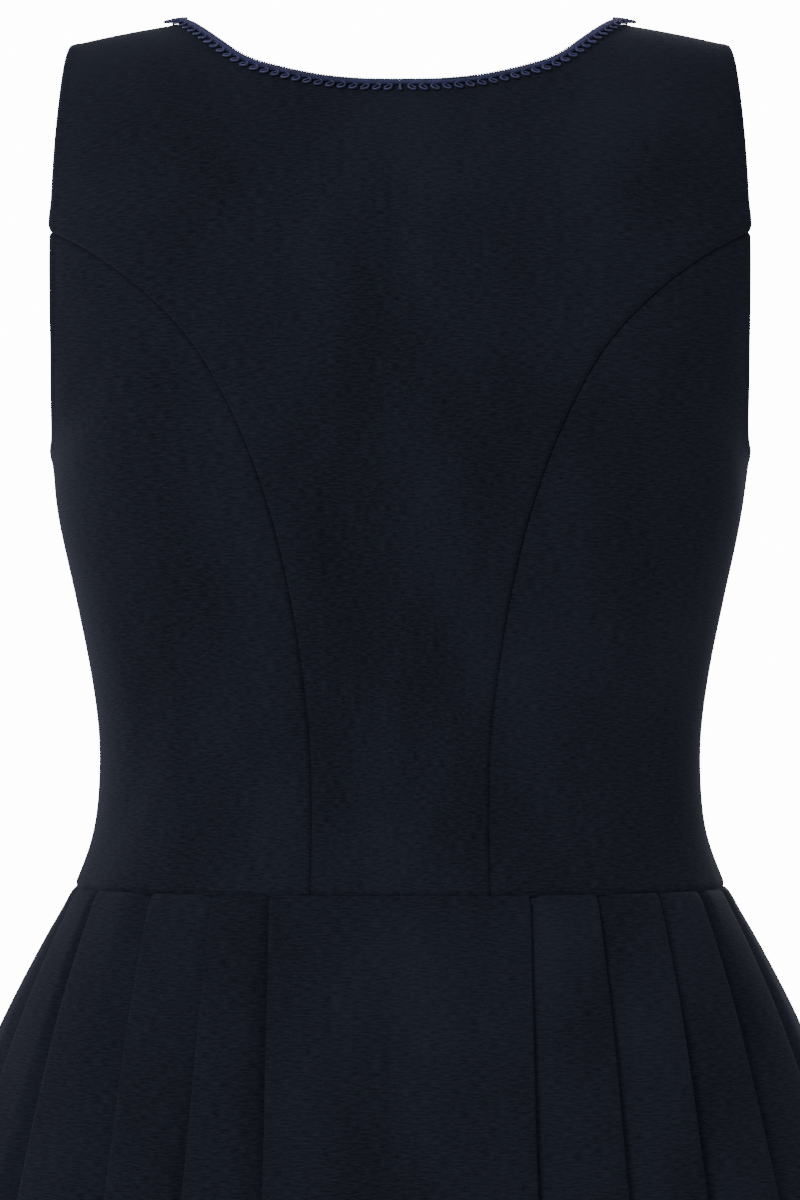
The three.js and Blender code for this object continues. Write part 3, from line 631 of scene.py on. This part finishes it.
def header_band(lay, total):
    """The flat band under the plait: a low box carried along the edge."""
    s = np.linspace(END_GAP, total - END_GAP, BAND_STEPS)
    near, far = BAND_EDGES
    corners = ((near, 0.0), (near, BAND_HIGH), (far, BAND_HIGH), (far, 0.0), (near, 0.0))
    return np.stack([lay(s, np.full(BAND_STEPS, w), np.full(BAND_STEPS, h)) for w, h in corners], 1)


def braid(side, on_left):
    """Gimp on the neck edge: a plaited header above a row of leaning cord loops, on a dark band."""
    lay, total = neck_layer()
    nets = [cord_loops(lay, total), *header_strands(lay, total), header_band(lay, total)]
    points, faces, uvs, start = [], [], [], 0
    for net in nets:
        if on_left:
            net = net * OTHER_SIDE
        rings, around = net.shape[:2]
        grain_along, grain_round = np.arange(rings) * CORD_GRAIN[0], np.arange(around) * CORD_GRAIN[1]
        points.append(net.reshape(-1, 3))
        faces.append(grid_faces(rings, around, start, flipped=on_left))
        uvs.append(np.stack(np.meshgrid(grain_along, grain_round, indexing="ij"), -1).reshape(-1, 2))
        start += rings * around
    arrays = [np.concatenate(parts) for parts in (points, faces, uvs)]
    piece = new_object(f"neck_braid_{side}", *arrays, BRAID)
    piece.data.materials.append(NAVY)
    band = np.arange(len(arrays[1])) >= len(arrays[1]) - len(faces[-1])
    piece.data.polygons.foreach_set("material_index", band.astype(np.int32))
    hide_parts(f"neck_trim_{side}")
    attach(piece, "root")


# ---------------------------------------------------------------- materials

def node_group(name, inputs, outputs):
    """An empty shader group with named number sockets."""
    group = bpy.data.node_groups.new(name, "ShaderNodeTree")
    for label, value in inputs:
        socket = group.interface.new_socket(label, in_out="INPUT", socket_type="NodeSocketFloat")
        socket.default_value = value
    for label in outputs:
        group.interface.new_socket(label, in_out="OUTPUT", socket_type="NodeSocketFloat")
    return group, group.nodes.new("NodeGroupInput"), group.nodes.new("NodeGroupOutput")


# noise scales per metre of cloth across, along and off it, with its detail: slubs, pebble, unevenness
CREPE_NOISES = [((230, 1250, 1), 2), ((1500, 2100, 1), 1), ((14, 9, 1), 2)]


def crepe_group():
    """Short cross slubs, a fine pebble and a broad unevenness, as a shade and a height.

    The height is 0.6 of the slubs and 0.4 of the pebble.
    The shade is 0.75 of that height and 0.25 of the unevenness.
    """
    group, given, out = node_group("crepe", [("Slub", 1.0), ("Pebble", 1.0)], ["Shade", "Height"])
    link, add = group.links.new, group.nodes.new
    uv = add("ShaderNodeUVMap")
    uv.uv_map = "cloth"
    noises = []
    for scale, detail in CREPE_NOISES:
        mapping = add("ShaderNodeMapping")
        mapping.inputs["Scale"].default_value = scale
        noise = add("ShaderNodeTexNoise")
        noise.inputs["Scale"].default_value = 1
        noise.inputs["Detail"].default_value = detail
        link(uv.outputs[0], mapping.inputs[0])
        link(mapping.outputs[0], noise.inputs["Vector"])
        noises.append(noise.outputs["Fac"])

    def maths(kind, a, b):
        node = add("ShaderNodeMath")
        node.operation = kind
        for socket, value in zip(node.inputs, (a, b)):
            if isinstance(value, (int, float)):
                socket.default_value = value
            else:
                link(value, socket)
        return node.outputs[0]

    slub = maths("MULTIPLY", noises[0], given.outputs["Slub"])
    pebble = maths("MULTIPLY", noises[1], given.outputs["Pebble"])
    both = maths("ADD", maths("MULTIPLY", slub, 0.6), maths("MULTIPLY", pebble, 0.4))
    link(maths("ADD", maths("MULTIPLY", both, 0.75), maths("MULTIPLY", noises[2], 0.25)), out.inputs["Shade"])
    link(both, out.inputs["Height"])
    return group


def cloth_material(name, dark, light, bump, roughness, sheen, tint, specular):
    """A Principled cloth whose colour runs from dark to light with the crepe's shade, and its bump."""
    material = bpy.data.materials.new(name)
    material.use_nodes = True
    nodes, link = material.node_tree.nodes, material.node_tree.links.new
    shader = nodes["Principled BSDF"]
    weave = nodes.new("ShaderNodeGroup")
    weave.node_tree = CREPE
    ramp = nodes.new("ShaderNodeValToRGB")
    for stop, position, colour in zip(ramp.color_ramp.elements, (0.38, 0.62), (dark, light)):
        stop.position = position
        stop.color = (*colour, 1)
    relief = nodes.new("ShaderNodeBump")
    relief.inputs["Strength"].default_value = bump
    relief.inputs["Distance"].default_value = 0.0004
    link(weave.outputs["Shade"], ramp.inputs[0])
    link(ramp.outputs[0], shader.inputs["Base Color"])
    link(weave.outputs["Height"], relief.inputs["Height"])
    link(relief.outputs[0], shader.inputs["Normal"])
    shader.inputs["Roughness"].default_value = roughness
    shader.inputs["Sheen Weight"].default_value = sheen
    shader.inputs["Sheen Roughness"].default_value = 0.45
    shader.inputs["Sheen Tint"].default_value = (*tint, 1)
    shader.inputs["Specular IOR Level"].default_value = specular
    return material


def metal_material():
    """Dark blackened wire, a little uneven in its shade."""
    material = bpy.data.materials.new("black_wire")
    material.use_nodes = True
    nodes, link = material.node_tree.nodes, material.node_tree.links.new
    shader = nodes["Principled BSDF"]
    place = nodes.new("ShaderNodeTexCoord")
    noise = nodes.new("ShaderNodeTexNoise")
    noise.inputs["Scale"].default_value = 900
    ramp = nodes.new("ShaderNodeValToRGB")
    ramp.color_ramp.elements[0].color = (0.012, 0.013, 0.016, 1)
    ramp.color_ramp.elements[1].color = (0.04, 0.042, 0.05, 1)
    link(place.outputs["Object"], noise.inputs["Vector"])
    link(noise.outputs["Fac"], ramp.inputs[0])
    link(ramp.outputs[0], shader.inputs["Base Color"])
    shader.inputs["Metallic"].default_value = 0.6
    shader.inputs["Roughness"].default_value = 0.38
    return material


CREPE = crepe_group()
NAVY = cloth_material(
    "navy_crepe", dark=(0.0025, 0.0031, 0.0054), light=(0.0096, 0.0112, 0.0182),
    bump=0.6, roughness=0.9, sheen=0.05, tint=(0.5, 0.55, 0.85), specular=0.05)
BRAID = cloth_material(
    "gimp_cord", dark=(0.009, 0.010, 0.032), light=(0.036, 0.038, 0.110),
    bump=0.5, roughness=0.5, sheen=0.05, tint=(0.6, 0.65, 0.95), specular=0.3)
WIRE = metal_material()


# ---------------------------------------------------------------- the room

# name, place in metres, size in metres, power in watts
LIGHTS = [("key", (-1.7, -2.4, 1.3), 1.3, 95), ("fill", (2.2, -2.0, 0.2), 2.0, 24),
          ("rim", (-2.2, 1.4, 0.6), 1.2, 26), ("front", (0.8, 2.8, 1.0), 1.6, 46)]
LIGHTS_AIM = (0, 0, -0.35)
FLOOR_SIZE, FLOOR_HEIGHT = 10, -1.092
SKY_STRENGTH, SEEN_SKY_STRENGTH = 0.6, 18


def floor():
    """A pale plain floor that the hem just clears."""
    bpy.ops.mesh.primitive_plane_add(size=FLOOR_SIZE, location=(0, 0, FLOOR_HEIGHT))
    ground = bpy.context.object
    ground.name = "floor"
    pale = bpy.data.materials.new("pale_floor")
    pale.use_nodes = True
    pale.node_tree.nodes["Principled BSDF"].inputs["Base Color"].default_value = (0.85, 0.85, 0.85, 1)
    pale.node_tree.nodes["Principled BSDF"].inputs["Roughness"].default_value = 0.8
    ground.data.materials.append(pale)


def surround():
    """A plain white world, brighter where the camera sees it than where it lights the dress."""
    world = bpy.data.worlds.new("studio")
    bpy.context.scene.world = world
    world.use_nodes = True
    nodes, link = world.node_tree.nodes, world.node_tree.links.new
    sky = nodes["Background"]
    sky.inputs["Color"].default_value = (1, 1, 1, 1)
    sky.inputs["Strength"].default_value = SKY_STRENGTH
    seen = nodes.new("ShaderNodeBackground")
    seen.inputs["Strength"].default_value = SEEN_SKY_STRENGTH
    ray, mix = nodes.new("ShaderNodeLightPath"), nodes.new("ShaderNodeMixShader")
    link(ray.outputs["Is Camera Ray"], mix.inputs[0])
    link(sky.outputs[0], mix.inputs[1])
    link(seen.outputs[0], mix.inputs[2])
    link(mix.outputs[0], nodes["World Output"].inputs["Surface"])


def lights():
    """Four soft area lights, each turned to the middle of the bodice."""
    for name, place, size, power in LIGHTS:
        light = bpy.data.lights.new(name, "AREA")
        light.size, light.energy = size, power
        lamp = bpy.data.objects.new(name, light)
        bpy.context.scene.collection.objects.link(lamp)
        lamp.location = place
        aim = np.array(LIGHTS_AIM) - np.array(place)
        lamp.rotation_euler = (math.acos(-aim[2] / np.linalg.norm(aim)), 0, math.atan2(-aim[0], aim[1]))


def camera():
    """Level with the middle of the picture, straight behind the dress."""
    distance, seen_height, eye_height = 3.0, 0.552, -0.2585
    data = bpy.data.cameras.new("camera")
    data.sensor_fit = "VERTICAL"
    data.sensor_height = 36
    data.lens = data.sensor_height * distance / seen_height
    eye = bpy.data.objects.new("camera", data)
    eye.location = (0, -distance, eye_height)
    eye.rotation_euler = (math.pi / 2, 0, 0)
    bpy.context.scene.collection.objects.link(eye)
    bpy.context.scene.camera = eye


camera()
bodice()
pleated_skirt()
braid("right", False)
braid("left", True)
for name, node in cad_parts.items():
    if name.startswith(("hook_", "eye_")):
        node.data.materials.clear()
        node.data.materials.append(WIRE)
floor()
surround()
lights()
